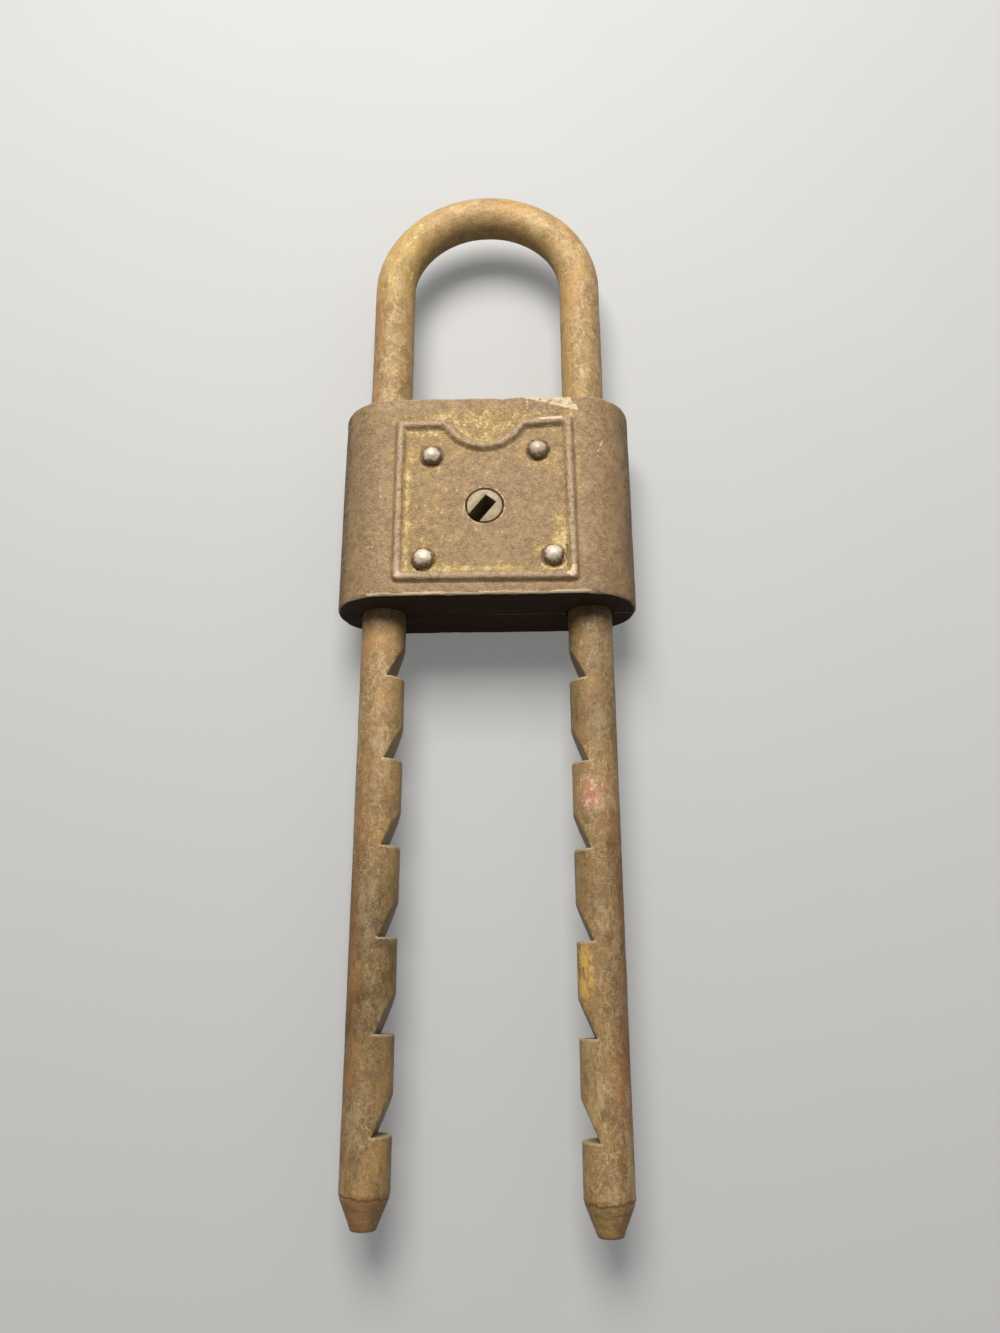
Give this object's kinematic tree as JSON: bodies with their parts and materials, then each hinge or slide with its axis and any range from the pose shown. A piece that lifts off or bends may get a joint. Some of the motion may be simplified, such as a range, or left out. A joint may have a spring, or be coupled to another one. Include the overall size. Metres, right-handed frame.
{
  "type": "rusty adjustable padlock",
  "caption": "Long rusty padlock whose thick case rides on a bent rod shackle with saw-tooth legs, held by a key plug, a cam and spring bolts.",
  "frame": {"origin": "middle of the case's flat back", "axes": "+Y along the shackle's legs towards the bow, +Z out of the front face, +X to the right of the key plug"},
  "size_m": [0.054, 0.1937, 0.0209],
  "materials": {
    "casting": "brown, pitted, dusty old casting with rust in its corners",
    "rod_steel": "ochre and brown rust film over smooth round rod",
    "rivet_steel": "worn, grey-brown hammered heads",
    "plug_metal": "dull, scuffed pale face",
    "works_brass": "dull brass, inside the case",
    "works_steel": "plain steel, inside the case"
  },
  "bodies": {
    "case": {"front_case": "casting", "back_case": "casting", "rivet_upper_left": "rivet_steel", "rivet_upper_right": "rivet_steel", "rivet_lower_left": "rivet_steel", "rivet_lower_right": "rivet_steel", "plug_barrel": "works_brass", "barrel_cap": "works_brass", "ward_plate_1": "works_steel", "ward_plate_2": "works_steel", "guide_plate": "works_steel", "guide_screw_left": "works_steel", "guide_screw_right": "works_steel", "upper_bolt_spring": "works_steel", "lower_bolt_spring": "works_steel"},
    "shackle": {"shackle": "rod_steel"},
    "key_plug": {"key_plug": "plug_metal", "cam_plate": "works_steel", "cam_pin_upper": "works_steel", "cam_pin_lower": "works_steel", "cam_clip": "works_steel"},
    "left_bolt": {"left_bolt": "works_brass"},
    "right_bolt": {"right_bolt": "works_brass"}
  },
  "joints": [
    {"name": "shackle_slide", "type": "slide", "parent": "case", "child": "shackle", "axis": [0, 1, 0], "range_m": [-0.01479, 0.1405]},
    {"name": "key_turn", "type": "hinge", "parent": "case", "child": "key_plug", "pos_m": [0, -0.0025, 0.0097], "axis": [0, 0, 1], "range_deg": [0, 38]},
    {"name": "left_bolt_slide", "type": "slide", "parent": "case", "child": "left_bolt", "axis": [-1, 0, 0], "range_m": [0, 0.0026], "deforming": ["upper_bolt_spring"]},
    {"name": "right_bolt_slide", "type": "slide", "parent": "case", "child": "right_bolt", "axis": [1, 0, 0], "range_m": [0, 0.0026], "deforming": ["lower_bolt_spring"]}
  ],
  "couplings": [
    {"joint": "key_turn", "follows": "left_bolt_slide", "rad_per_m": 254.64},
    {"joint": "right_bolt_slide", "follows": "left_bolt_slide", "ratio": 1}
  ]
}
